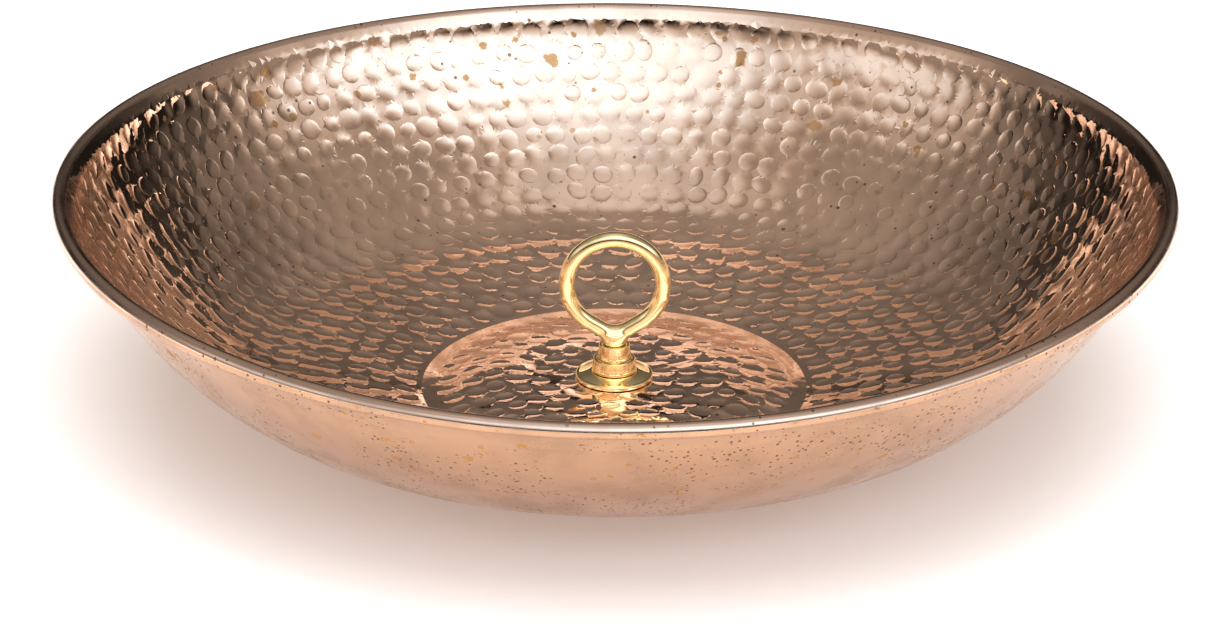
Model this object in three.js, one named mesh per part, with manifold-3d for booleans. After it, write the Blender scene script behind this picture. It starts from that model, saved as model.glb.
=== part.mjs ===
// Hammered copper basin with a brass ring bolted through the middle of its floor.
//
// Millimetres, +Z up. The origin is the middle of the flat ring that the basin stands on.
// Every round piece is turned about the Z axis, and the brass ring stands in the XZ plane.

import * as THREE from "three";
import { mergeVertices } from "three/addons/utils/BufferGeometryUtils.js";
import Module from "manifold-3d";

const wasm = await Module();
wasm.setup();

// ---------------------------------------------------------------- driving dimensions

const RIM_RADIUS = 200;
const BASIN_HEIGHT = 80;
const SHEET = 1.2;

// Foot: the basin stands on a flat ring, and the floor inside it is raised to clear the screw.
const FOOT_OUTER_RADIUS = 70;
const FOOT_INNER_RADIUS = 64;
const FLOOR_RISE = 2.9;
const FLOOR_SEAT_RADIUS = 16;
const FLOOR_CROWN_POWER = 2.2;
const FLOOR_HOLE_RADIUS = 2.4;

// Wall: a shallow cone, a tight knuckle, a wide round bowl side, then a straight lip.
const CONE_ANGLE = 10;
const KNUCKLE_RADIUS = 70;
const KNUCKLE_END_ANGLE = 34;
const SIDE_RADIUS = 130;
const LIP_ANGLE = 60;

// Rim: the sheet is rolled outwards over a wire, and its edge lies back against the wall.
const BEAD_RADIUS = 3;
const WIRE_CLEARANCE = 0.3;
const HEM_CLEARANCE = 0.3;
const HEM_FILLET = 2;
const HEM_LENGTH = 13;

// Fitting, from the floor up. The pieces are round and stand one on another.
const STACK_GAP = 0.2;
const BORE_CLEARANCE = 0.3;
const CAP = {
  lipRadius: 14.1,
  lipHeight: 1.7,
  lipRound: 0.5,
  coneRadius: 13.2,
  seatRadius: 8.8,
  height: 2.7,
  sheet: 0.9,
};
const GASKET = { radius: 7.8, bore: 2.6, thickness: 1.4 };
const LOWER_COLLAR = { bottomRadius: 8.2, topRadius: 7.6, height: 4.7, round: 0.5 };
const UPPER_COLLAR = { bottomRadius: 6.2, topRadius: 5.3, height: 5.3, round: 0.5 };
const EYE = {
  centreHeight: 36.3,
  radius: 17.4,
  tubeRadius: 2.85,
  veeAngle: 31.5,
  shankRadius: 3.3,
  neckFlareRadius: 4.6,
  neckFlareHeight: 3.6,
  flareStart: 1.2,
  armOverlapShare: 0.08,
  armTopRadius: 2.76,
  armBottomRadius: 2.99,
};
const SCREW = {
  radius: 2,
  threadClearance: 0.25,
  headRadius: 4.6,
  headThickness: 1.7,
  headRound: 0.8,
  slotWidth: 1.1,
  slotDepth: 0.9,
  gripInShank: 9,
  tipClearance: 1,
};
const WASHER = { radius: 6.2, thickness: 0.6 };

// How finely curves are divided.
const BASIN_SEGMENTS = 56;
const WALL_ARC_STEPS = 4;
const FLOOR_STEPS = 4;
const BEAD_STEPS = 8;
const POCKET_STEPS = 6;
const FILLET_STEPS = 2;
const WIRE_SIDES = 8;
const FITTING_SEGMENTS = 28;
const EDGE_STEPS = 3;
const EYE_SIDES = 10;
const EYE_STEPS = 32;
const WELD_DISTANCE = 1e-4;

// ---------------------------------------------------------------- finishes

const finish = (color, roughness, metalness) =>
  new THREE.MeshStandardMaterial({ color, roughness, metalness });

const copper = () => finish(0xc98d68, 0.22, 1);
const brass = () => finish(0xe3b656, 0.15, 1);
const steel = () => finish(0x8d8a86, 0.35, 1);
const rubber = () => finish(0x1d1c1b, 0.85, 0);

// ---------------------------------------------------------------- geometry helpers

const radians = THREE.MathUtils.degToRad;

// Points on a circle in the (radius, height) plane. Angle 0 points outwards, 90 points up.
function arc(centre, radius, fromAngle, toAngle, steps) {
  const points = [];
  for (let i = 0; i <= steps; i += 1) {
    const angle = radians(fromAngle + ((toAngle - fromAngle) * i) / steps);
    const offset = new THREE.Vector2(Math.cos(angle), Math.sin(angle)).multiplyScalar(radius);
    points.push(offset.add(centre));
  }
  return points;
}

// Turns a closed outline of (radius, height) points, listed anticlockwise, about the Z axis.
function turned(outline, segments) {
  const closed = [...outline, outline[0].clone()];
  const geometry = new THREE.LatheGeometry(closed, segments);
  geometry.rotateX(Math.PI / 2);
  return geometry;
}

function toSolid(geometry) {
  const bare = geometry.clone();
  bare.deleteAttribute("normal");
  bare.deleteAttribute("uv");
  const merged = mergeVertices(bare, WELD_DISTANCE);
  const indexes = merged.index.array;
  const kept = [];
  for (let i = 0; i < indexes.length; i += 3) {
    const [a, b, c] = indexes.slice(i, i + 3);
    if (a !== b && b !== c && c !== a) {
      kept.push(a, b, c);
    }
  }
  const mesh = new wasm.Mesh({
    numProp: 3,
    vertProperties: new Float32Array(merged.attributes.position.array),
    triVerts: new Uint32Array(kept),
  });
  return new wasm.Manifold(mesh);
}

function toGeometry(solid) {
  const mesh = solid.getMesh();
  const geometry = new THREE.BufferGeometry();
  geometry.setAttribute("position", new THREE.BufferAttribute(mesh.vertProperties, 3));
  geometry.setIndex(new THREE.BufferAttribute(mesh.triVerts, 1));
  geometry.computeVertexNormals();
  return geometry;
}

function piece(name, geometry, material, height = 0) {
  const mesh = new THREE.Mesh(geometry, material);
  mesh.name = name;
  mesh.position.z = height;
  return mesh;
}

// ---------------------------------------------------------------- heights of the stack

const FLOOR_TOP = FLOOR_RISE + SHEET;
const CAP_BASE = FLOOR_TOP + STACK_GAP;
const LOWER_COLLAR_BASE = CAP_BASE + CAP.height + STACK_GAP;
const UPPER_COLLAR_BASE = LOWER_COLLAR_BASE + LOWER_COLLAR.height + STACK_GAP;
const NECK_BASE = UPPER_COLLAR_BASE + UPPER_COLLAR.height;
const EYE_CENTRE = CAP_BASE + EYE.centreHeight;
const WASHER_TOP = FLOOR_RISE - STACK_GAP;
const HEAD_TOP = WASHER_TOP - WASHER.thickness - STACK_GAP;
const SCREW_TIP = LOWER_COLLAR_BASE + SCREW.gripInShank;

// ---------------------------------------------------------------- basin wall and rim

// The wall line is the outer surface. Its lip ends beside the bead, and its cone starts at the
// foot, so the lengths of the two straight stretches follow from the arcs between them.
const along = new THREE.Vector2(Math.cos(radians(LIP_ANGLE)), Math.sin(radians(LIP_ANGLE)));
const outwards = new THREE.Vector2(Math.sin(radians(LIP_ANGLE)), -Math.cos(radians(LIP_ANGLE)));
const beadCentre = new THREE.Vector2(RIM_RADIUS - BEAD_RADIUS, BASIN_HEIGHT - BEAD_RADIUS);

// A point beside the bead: u runs up the lip and v runs out of the wall.
function besideBead(u, v) {
  return beadCentre.clone().addScaledVector(along, u).addScaledVector(outwards, v);
}

function arcRun(radius, fromAngle, toAngle) {
  const from = radians(fromAngle);
  const to = radians(toAngle);
  return new THREE.Vector2(
    radius * (Math.sin(to) - Math.sin(from)),
    radius * (Math.cos(from) - Math.cos(to)),
  );
}

const lipTop = besideBead(0, SHEET - BEAD_RADIUS);
const coneStart = new THREE.Vector2(FOOT_OUTER_RADIUS, 0);
const straightRun = lipTop
  .clone()
  .sub(coneStart)
  .sub(arcRun(KNUCKLE_RADIUS, CONE_ANGLE, KNUCKLE_END_ANGLE))
  .sub(arcRun(SIDE_RADIUS, KNUCKLE_END_ANGLE, LIP_ANGLE));
const coneWay = new THREE.Vector2(Math.cos(radians(CONE_ANGLE)), Math.sin(radians(CONE_ANGLE)));
const coneLength = straightRun.cross(along) / coneWay.cross(along);
const coneEnd = coneStart.clone().addScaledVector(coneWay, coneLength);

// The wall from the foot to the lip, as the surface that lies inside the outer one by `inset`.
function wall(inset) {
  const knuckleCentre = new THREE.Vector2(
    coneEnd.x - KNUCKLE_RADIUS * Math.sin(radians(CONE_ANGLE)),
    coneEnd.y + KNUCKLE_RADIUS * Math.cos(radians(CONE_ANGLE)),
  );
  const toSideCentre = SIDE_RADIUS - KNUCKLE_RADIUS;
  const sideCentre = new THREE.Vector2(
    knuckleCentre.x - toSideCentre * Math.sin(radians(KNUCKLE_END_ANGLE)),
    knuckleCentre.y + toSideCentre * Math.cos(radians(KNUCKLE_END_ANGLE)),
  );
  const knuckle = arc(
    knuckleCentre, KNUCKLE_RADIUS - inset, CONE_ANGLE - 90, KNUCKLE_END_ANGLE - 90, WALL_ARC_STEPS,
  );
  const side = arc(
    sideCentre, SIDE_RADIUS - inset, KNUCKLE_END_ANGLE - 90, LIP_ANGLE - 90, WALL_ARC_STEPS,
  );
  return [...knuckle, ...side.slice(1)];
}

// The raised floor inside the foot: flat under the fitting, then falling to the foot ring.
function floorLine(lift) {
  const points = [new THREE.Vector2(FLOOR_HOLE_RADIUS, FLOOR_RISE + lift)];
  for (let i = 0; i <= FLOOR_STEPS; i += 1) {
    const across = i / FLOOR_STEPS;
    const radius = FLOOR_SEAT_RADIUS + (FOOT_INNER_RADIUS - FLOOR_SEAT_RADIUS) * across;
    const height = FLOOR_RISE * (1 - across ** FLOOR_CROWN_POWER) + lift;
    points.push(new THREE.Vector2(radius, height));
  }
  return points;
}

function basinOutline() {
  const pocketRadius = BEAD_RADIUS - SHEET;
  const hemOuter = 2 * SHEET + HEM_CLEARANCE - BEAD_RADIUS;
  const hemInner = hemOuter - SHEET;

  // The hem leaves the bead through a hollow fillet that touches the bead and the hem line.
  const filletV = hemOuter + HEM_FILLET;
  const filletU = -Math.sqrt((BEAD_RADIUS + HEM_FILLET) ** 2 - filletV ** 2);
  const filletCentre = besideBead(filletU, filletV);
  const leaveAngle = LIP_ANGLE + THREE.MathUtils.radToDeg(Math.atan2(-filletV, filletU));
  const wallSide = LIP_ANGLE + 90;
  const fromFillet = leaveAngle + 180;

  const pocket = arc(beadCentre, pocketRadius, wallSide, leaveAngle, POCKET_STEPS);
  const hemInside = arc(filletCentre, HEM_FILLET + SHEET, fromFillet, wallSide, FILLET_STEPS);
  const hemOutside = arc(filletCentre, HEM_FILLET, wallSide, fromFillet, FILLET_STEPS);
  const bead = arc(beadCentre, BEAD_RADIUS, leaveAngle, wallSide, BEAD_STEPS);

  return [
    ...floorLine(0),
    coneStart,
    ...wall(0),
    ...pocket,
    ...hemInside.slice(1),
    besideBead(-HEM_LENGTH, hemInner),
    besideBead(-HEM_LENGTH, hemOuter),
    ...hemOutside,
    ...bead.slice(1),
    ...wall(SHEET).reverse(),
    new THREE.Vector2(FOOT_OUTER_RADIUS, SHEET),
    ...floorLine(SHEET).reverse(),
  ];
}

function basinShell() {
  return piece("basin_shell", turned(basinOutline(), BASIN_SEGMENTS), copper());
}

function rimWire() {
  const wireRadius = BEAD_RADIUS - SHEET - WIRE_CLEARANCE;
  const geometry = new THREE.TorusGeometry(beadCentre.x, wireRadius, WIRE_SIDES, BASIN_SEGMENTS);
  return piece("rim_wire", geometry, steel(), beadCentre.y);
}

// ---------------------------------------------------------------- fitting on the floor

// A spun cap, hollow underneath: a flat top, a shallow cone and a round lip.
function flangeCap() {
  const inner = CAP.lipRadius - CAP.sheet;
  const ceiling = CAP.height - CAP.sheet;
  const lipCentre = new THREE.Vector2(CAP.lipRadius - CAP.lipRound, CAP.lipRound);
  const outline = [
    new THREE.Vector2(inner, 0),
    ...arc(lipCentre, CAP.lipRound, -90, 0, EDGE_STEPS),
    new THREE.Vector2(CAP.lipRadius, CAP.lipHeight - CAP.lipRound),
    new THREE.Vector2(CAP.coneRadius, CAP.lipHeight),
    new THREE.Vector2(CAP.seatRadius, CAP.height),
    new THREE.Vector2(FLOOR_HOLE_RADIUS, CAP.height),
    new THREE.Vector2(FLOOR_HOLE_RADIUS, ceiling),
    new THREE.Vector2(CAP.seatRadius, ceiling),
    new THREE.Vector2(inner, CAP.lipHeight - CAP.sheet),
  ];
  return piece("flange_cap", turned(outline, FITTING_SEGMENTS), brass(), CAP_BASE);
}

// A plain ring with a square section.
function flatRing(name, bore, radius, thickness, material, height) {
  const outline = [
    new THREE.Vector2(bore, 0),
    new THREE.Vector2(radius, 0),
    new THREE.Vector2(radius, thickness),
    new THREE.Vector2(bore, thickness),
  ];
  return piece(name, turned(outline, FITTING_SEGMENTS), material, height);
}

// A tapered collar with a rounded top edge, bored to slide over the shank of the eye.
function collar(name, size, height) {
  const bore = EYE.shankRadius + BORE_CLEARANCE;
  const shoulder = new THREE.Vector2(size.topRadius - size.round, size.height - size.round);
  const outline = [
    new THREE.Vector2(bore, 0),
    new THREE.Vector2(size.bottomRadius, 0),
    ...arc(shoulder, size.round, 0, 90, EDGE_STEPS),
    new THREE.Vector2(bore, size.height),
  ];
  return piece(name, turned(outline, FITTING_SEGMENTS), brass(), height);
}

// A straight bar between two points, as wide as `fromRadius` at one end and `toRadius` at the other.
function taperedBar(from, to, fromRadius, toRadius) {
  const way = to.clone().sub(from);
  const geometry = new THREE.CylinderGeometry(toRadius, fromRadius, way.length(), EYE_SIDES);
  const turn = new THREE.Quaternion().setFromUnitVectors(
    new THREE.Vector3(0, 1, 0), way.clone().normalize(),
  );
  geometry.applyQuaternion(turn);
  const middle = from.clone().addScaledVector(way, 0.5);
  geometry.translate(middle.x, middle.y, middle.z);
  return geometry;
}

// The round part of the eye, open at the bottom where the two straight arms take over.
class EyeBow extends THREE.Curve {
  getPoint(t, target = new THREE.Vector3()) {
    const gap = radians(EYE.veeAngle);
    const angle = -Math.PI / 2 + gap + (2 * Math.PI - 2 * gap) * t;
    return target.set(EYE.radius * Math.cos(angle), 0, EYE.radius * Math.sin(angle));
  }
}

// The eye: a bow, two arms that leave it at a tangent and meet in a V, and a round shank below
// them that is bored for the screw.
function eyeRing() {
  const bow = new EyeBow();
  const section = new THREE.Shape().absarc(0, 0, EYE.tubeRadius, 0, 2 * Math.PI);
  const bowGeometry = new THREE.ExtrudeGeometry(section, {
    steps: EYE_STEPS,
    curveSegments: EYE_SIDES,
    extrudePath: bow,
  });
  let eye = toSolid(bowGeometry);

  const apex = new THREE.Vector3(0, 0, -EYE.radius / Math.cos(radians(EYE.veeAngle)));
  for (const end of [bow.getPoint(0), bow.getPoint(1)]) {
    const overlap = apex.clone().sub(end).multiplyScalar(EYE.armOverlapShare);
    const top = end.clone().sub(overlap);
    const bottom = apex.clone().add(overlap);
    const arm = taperedBar(top, bottom, EYE.armTopRadius, EYE.armBottomRadius);
    eye = eye.add(toSolid(arm));
  }

  const neckBase = NECK_BASE - EYE_CENTRE;
  const shankBase = LOWER_COLLAR_BASE - EYE_CENTRE;
  const neckTop = neckBase + EYE.neckFlareHeight;
  const boreRadius = SCREW.radius + SCREW.threadClearance;
  const boreTop = shankBase + SCREW.gripInShank + SCREW.tipClearance;
  const shank = [
    new THREE.Vector2(boreRadius, shankBase),
    new THREE.Vector2(EYE.shankRadius, shankBase),
    new THREE.Vector2(EYE.shankRadius, neckBase + EYE.flareStart),
    new THREE.Vector2(EYE.neckFlareRadius, neckTop),
    new THREE.Vector2(0, neckTop),
    new THREE.Vector2(0, boreTop),
    new THREE.Vector2(boreRadius, boreTop),
  ];
  eye = eye.add(toSolid(turned(shank, FITTING_SEGMENTS)));
  return piece("eye_ring", toGeometry(eye), brass(), EYE_CENTRE);
}

// The screw comes up through the floor: a low round head with a slot, and a plain-sided thread.
function clampScrew() {
  const headBase = HEAD_TOP - SCREW.headThickness;
  const edge = new THREE.Vector2(SCREW.headRadius - SCREW.headRound, headBase + SCREW.headRound);
  const outline = [
    new THREE.Vector2(0, headBase),
    ...arc(edge, SCREW.headRound, -90, 0, EDGE_STEPS),
    new THREE.Vector2(SCREW.headRadius, HEAD_TOP),
    new THREE.Vector2(SCREW.radius, HEAD_TOP),
    new THREE.Vector2(SCREW.radius, SCREW_TIP),
    new THREE.Vector2(0, SCREW_TIP),
  ];
  const slot = new THREE.BoxGeometry(3 * SCREW.headRadius, SCREW.slotWidth, 2 * SCREW.slotDepth);
  slot.translate(0, 0, headBase);
  const screw = toSolid(turned(outline, FITTING_SEGMENTS)).subtract(toSolid(slot));
  return piece("clamp_screw", toGeometry(screw), brass());
}

// ---------------------------------------------------------------- assembly

const basin = new THREE.Group();
basin.add(basinShell());
basin.add(rimWire());
basin.add(flangeCap());
basin.add(flatRing(
  "sealing_gasket", GASKET.bore, GASKET.radius, GASKET.thickness, rubber(), CAP_BASE,
));
basin.add(collar("lower_collar", LOWER_COLLAR, LOWER_COLLAR_BASE));
basin.add(collar("upper_collar", UPPER_COLLAR, UPPER_COLLAR_BASE));
basin.add(eyeRing());
basin.add(flatRing(
  "screw_washer", FLOOR_HOLE_RADIUS, WASHER.radius, WASHER.thickness, steel(),
  WASHER_TOP - WASHER.thickness,
));
basin.add(clampScrew());

export default basin;
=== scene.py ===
"""Looks for the hammered copper basin with its brass ring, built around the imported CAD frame.

Shapes are worked out in millimetres in the CAD frame: +Z is up, and the origin is the middle of
the flat ring that the basin stands on. They become metres when a mesh is made.
"""

import math

import bpy
import bmesh
import numpy as np
from mathutils import Matrix, Vector
from mathutils.geometry import delaunay_2d_cdt

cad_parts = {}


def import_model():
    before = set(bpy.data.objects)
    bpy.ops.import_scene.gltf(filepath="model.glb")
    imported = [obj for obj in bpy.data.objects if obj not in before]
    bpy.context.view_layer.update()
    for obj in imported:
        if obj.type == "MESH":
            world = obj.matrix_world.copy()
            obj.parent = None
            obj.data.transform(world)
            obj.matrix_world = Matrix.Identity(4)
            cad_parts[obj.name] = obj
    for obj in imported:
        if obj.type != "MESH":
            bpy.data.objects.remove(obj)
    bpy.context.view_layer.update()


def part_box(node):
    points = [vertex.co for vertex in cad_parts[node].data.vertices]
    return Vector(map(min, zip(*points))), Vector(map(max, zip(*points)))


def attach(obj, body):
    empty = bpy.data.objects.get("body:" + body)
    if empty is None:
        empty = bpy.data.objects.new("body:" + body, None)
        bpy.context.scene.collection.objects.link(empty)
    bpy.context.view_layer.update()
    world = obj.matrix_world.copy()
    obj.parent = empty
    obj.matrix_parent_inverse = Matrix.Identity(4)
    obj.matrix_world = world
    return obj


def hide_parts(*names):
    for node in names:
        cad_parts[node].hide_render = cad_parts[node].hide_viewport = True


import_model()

MM = 0.001
TURN = 2 * math.pi


def box_mm(node):
    low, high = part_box(node)
    return np.array(low) / MM, np.array(high) / MM


# ---------------------------------------------------------------- driving dimensions

RIM_RADIUS = box_mm("basin_shell")[1][0]
BASIN_HEIGHT = box_mm("basin_shell")[1][2]
SHEET = 1.2

FOOT_OUTER_RADIUS = 70
FOOT_INNER_RADIUS = 64
FLOOR_RISE = 2.9
FLOOR_SEAT_RADIUS = 16
FLOOR_HOLE_RADIUS = 2.4

# The floor is drawn down a little at the fitting: its height over the foot, by radius.
FLOOR_LINE_RADIUS = (0, FLOOR_SEAT_RADIUS, 28, 40, 52, FOOT_INNER_RADIUS)
FLOOR_LINE_HEIGHT = (FLOOR_RISE, FLOOR_RISE, 3.35, 3.6, 2.35, 0)
FLOOR_LINE_ROUNDING = 4
FLOOR_LINE_SHIFTS = 9
FLOOR_LINE_STEPS = 240

CONE_ANGLE = 10
KNUCKLE_RADIUS = 70
KNUCKLE_END_ANGLE = 34
SIDE_RADIUS = 130
LIP_ANGLE = 60
INSIDE_WALL_STEPS = 120
OUTSIDE_WALL_STEPS = 8

BEAD_RADIUS = 3
BEAD_STEPS = 16
BRIGHT_BEAD_STEPS = 9
WIRE_CLEARANCE = 0.3
HEM_CLEARANCE = 0.3
HEM_FILLET = 2
HEM_LENGTH = 13
HEM_OUTSIDE_STEPS = 3
HEM_INSIDE_STEPS = 2
POCKET_STEPS = 5
WIRE_SIDES = 12

# Hammer marks on the inside, in concentric rows.
MARK_RADIUS = 3.95
MARK_RADIUS_SPREAD = 0.32
WALL_MARK_DISH = 0.22
FLOOR_MARK_DISH = 0.32
MARK_DISH_SPREAD = 0.045
MARK_DISH_LEAST = 0.1
MARK_STEP = 0.05
MARK_STEP_START = 0.9
MARK_LEAN = 0.3
MARK_STRETCH = 0.08
FLOOR_ROW_PITCH = 8.4
WALL_ROW_PITCH = 8.6
MARK_PITCH = 9.3
ROW_WANDER = 0.75
MARK_WANDER = 1.05
FIRST_ROW = 18
LAST_ROW_BELOW_BEAD = 8
FIRST_WALL_ROW_CREASES = 1.5
MARK_REACH = 12
MARK_OVERLAP = 0.05

# Rings of points in each mark: their share of its radius, and how many points each has.
MARK_RINGS = ((0.001, 1), (0.42, 5), (0.7, 8), (MARK_STEP_START, 14), (1.0, 14))

# Filler points between the marks, and how far they keep from a mark, the hole and the bead.
WEB_ROW_PITCH = 2.4
WEB_PITCH = 2.8
WEB_WANDER = 0.3
WEB_CLEAR_OF_MARK = 0.7
WEB_CLEAR_OF_HOLE = 3
WEB_CLEAR_OF_BEAD = 1

# Just below the bead the wall is pinched: how far it stands off its plain line, by distance
# below the bead.
NECK_DISTANCE = (0, 3.8, 5, 12, 30)
NECK_HEIGHT = (0, 0.5, 0.25, -0.7, 0)
NECK_ROUNDING = 0.5
NECK_FADE = 2
NECK_RINGS = (1.3, 2.6, 3.3, 3.9, 4.5, 5.1, 6, 7.2)

# The floor is dished unevenly by the hammering.
FLOOR_WAVES = 6
FLOOR_WAVE_LENGTH = (24, 55)
FLOOR_WAVE_HEIGHT = 0.12
FLOOR_WAVE_FADE = 10
HOLE_FADE = 3

# The rim isn't quite level: up at the sides, down in front. It has a lift all round, and waves
# that go up and down once, twice and three times on the way round.
RIM_LIFT = 0.4
RIM_TILT = 1.2
RIM_SADDLE = 2.6
RIM_TREFOIL = -0.6
RIM_WARP_POWER = 2

FOOT_CREASE_WIDTH = 1.7

RIM_COLUMNS = 288
HAMMERED_SHARP_DEGREES = 8.5
HOLE_COLUMNS = 32

# Rings of points under the floor: radius and how many points.
UNDERSIDE_RINGS = (
    (FLOOR_HOLE_RADIUS, HOLE_COLUMNS), (7, 32), (FLOOR_SEAT_RADIUS, 48), (26, 64),
    (36, 84), (46, 108), (55, 160), (60, 220), (FOOT_INNER_RADIUS, RIM_COLUMNS),
)

# The basin's material slots.
INSIDE_SLOT = 0
OUTSIDE_SLOT = 1
BRIGHT_SLOT = 2

# Fitting. Heights and outer radii come from the frame.
STACK_GAP = 0.2
BORE_CLEARANCE = 0.3
CAP_LIP_HEIGHT = 1.7
CAP_LIP_ROUND = 0.5
CAP_CONE_RADIUS = 13.2
CAP_SEAT_RADIUS = 8.8
CAP_SHEET = 0.9

# Offsets in radius and height: the step behind the lip, from the cone's edge; a point on the cone,
# from the seat's radius at the lip's height; and the seat's own edge.
CAP_STEP = ((-0.15, -0.12), (-0.6, 0.02))
CAP_CONE_MIDDLE = (2.2, 0.42)
CAP_SEAT_EDGE = ((0.3, -0.06), (-0.3, 0))

GASKET_BORE = 2.6
GASKET_EDGE = 0.2
WASHER_EDGE = 0.1
COLLAR_EDGE = 0.35
COLLAR_WAIST = 0.1
LOWER_COLLAR = {"top_radius": 7.6, "cup_radius": 6.5, "cup_depth": 0.35}
UPPER_COLLAR = {"top_radius": 5.6, "cup_radius": 4.6, "cup_depth": 0.9}
EYE_RADIUS = 17.4
EYE_TUBE = 2.85
EYE_VEE = 31.5
EYE_SHANK_RADIUS = 3.3
EYE_NECK_RADIUS = 4.0
EYE_NECK_HEIGHT = 3.6
EYE_NECK_ROOT = 0.8
EYE_ARM_BLEND = 3.5
EYE_NECK_BLEND = 2.2
EYE_GRID = 0.45
SCREW_RADIUS = 2
SCREW_PITCH = 0.7
SCREW_THREAD_DEPTH = 0.32
SCREW_NECK = 1.2
SCREW_TIP = 0.5
SCREW_TURN_STEPS = 8
SCREW_COLUMNS = 32
SCREW_HEAD_ROUND = 0.8
SCREW_SLOT_WIDTH = 1.1
SCREW_SLOT_DEPTH = 0.9

# An outline that closes on the axis stops this far from it.
AXIS_RADIUS = 0.01

rng = np.random.default_rng(7)


# ---------------------------------------------------------------- mesh helpers

def make_mesh(name, points_mm, faces, materials, face_material=None, sharp_degrees=40):
    """A smooth-shaded object from points in millimetres. Edges bent more than sharp_degrees stay crisp."""
    data = bpy.data.meshes.new(name)
    data.from_pydata((np.asarray(points_mm) * MM).tolist(), [], faces)
    for material in materials:
        data.materials.append(material)
    if face_material is not None:
        data.polygons.foreach_set("material_index", face_material)
    obj = bpy.data.objects.new(name, data)
    bpy.context.scene.collection.objects.link(obj)
    weld_and_face_outwards(data)
    data.shade_smooth()
    data.set_sharp_from_angle(angle=math.radians(sharp_degrees))
    return obj


def weld_and_face_outwards(data, distance_mm=1e-3):
    work = bmesh.new()
    work.from_mesh(data)
    bmesh.ops.remove_doubles(work, verts=work.verts, dist=distance_mm * MM)
    bmesh.ops.recalc_face_normals(work, faces=work.faces)
    work.to_mesh(data)
    work.free()


def circle_angles(columns):
    return np.arange(columns) * TURN / columns


def quads_between(rows, columns):
    """Quads between neighbouring rows of points, each row closed in a circle."""
    faces = []
    for row in range(rows - 1):
        for column in range(columns):
            beside = (column + 1) % columns
            low = row * columns
            high = low + columns
            faces.append((low + column, low + beside, high + beside, high + column))
    return faces


def lofted(outline, columns):
    """Points and quads of an open (radius, height) outline turned about Z."""
    outline = np.asarray(outline, float)
    angle = circle_angles(columns)
    rows = len(outline)
    points = np.empty((rows, columns, 3))
    points[..., 0] = outline[:, :1] * np.cos(angle)
    points[..., 1] = outline[:, :1] * np.sin(angle)
    points[..., 2] = outline[:, 1:]
    return points.reshape(-1, 3), quads_between(rows, columns)


def joined(patches):
    """One list of points and one of faces from several (points, faces) patches."""
    points = []
    faces = []
    for patch_points, patch_faces in patches:
        offset = sum(len(block) for block in points)
        points.append(patch_points)
        faces.extend(tuple(offset + index for index in face) for face in patch_faces)
    return np.concatenate(points), faces


def arc(centre, radius, from_degrees, to_degrees, steps):
    """Points on a circle in the (radius, height) plane. Angle 0 points outwards, 90 points up."""
    angle = np.radians(np.linspace(from_degrees, to_degrees, steps + 1))
    return np.asarray(centre) + radius * np.stack([np.cos(angle), np.sin(angle)], axis=1)


def triangles_over(flat, hole_radius):
    """Delaunay triangles over flat points, leaving the middle open inside hole_radius."""
    found = delaunay_2d_cdt([Vector(point) for point in flat], [], [], 0, 1e-6, True)
    source = [sources[0] for sources in found[3]]
    faces = []
    for face in found[2]:
        corners = [source[index] for index in face]
        if np.hypot(*flat[corners].mean(axis=0)) > hole_radius:
            faces.append(tuple(corners))
    return faces


# ---------------------------------------------------------------- basin profile

def way(degrees):
    return np.array([math.cos(math.radians(degrees)), math.sin(math.radians(degrees))])


ALONG_LIP = way(LIP_ANGLE)
OUT_OF_LIP = way(LIP_ANGLE - 90)
BEAD_CENTRE = np.array([RIM_RADIUS - BEAD_RADIUS, BASIN_HEIGHT - BEAD_RADIUS])


def beside_bead(up_the_lip, out_of_the_wall):
    return BEAD_CENTRE + ALONG_LIP * up_the_lip + OUT_OF_LIP * out_of_the_wall


def arc_run(radius, from_degrees, to_degrees):
    return radius * (way(to_degrees - 90) - way(from_degrees - 90))


def cross(a, b):
    return a[0] * b[1] - a[1] * b[0]


def wall_line(inset, steps):
    """The wall from the foot to the lip, as the surface that lies inside the outer one by inset."""
    lip_top = beside_bead(0, SHEET - BEAD_RADIUS)
    straight_run = (
        lip_top
        - np.array([FOOT_OUTER_RADIUS, 0])
        - arc_run(KNUCKLE_RADIUS, CONE_ANGLE, KNUCKLE_END_ANGLE)
        - arc_run(SIDE_RADIUS, KNUCKLE_END_ANGLE, LIP_ANGLE)
    )
    cone_length = cross(straight_run, ALONG_LIP) / cross(way(CONE_ANGLE), ALONG_LIP)
    cone_end = np.array([FOOT_OUTER_RADIUS, 0]) + way(CONE_ANGLE) * cone_length
    knuckle_centre = cone_end - KNUCKLE_RADIUS * way(CONE_ANGLE - 90)
    side_centre = knuckle_centre - (SIDE_RADIUS - KNUCKLE_RADIUS) * way(KNUCKLE_END_ANGLE - 90)
    knuckle = arc(
        knuckle_centre, KNUCKLE_RADIUS - inset, CONE_ANGLE - 90, KNUCKLE_END_ANGLE - 90, steps,
    )
    side = arc(side_centre, SIDE_RADIUS - inset, KNUCKLE_END_ANGLE - 90, LIP_ANGLE - 90, steps)
    return np.concatenate([knuckle, side[1:]])


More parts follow.
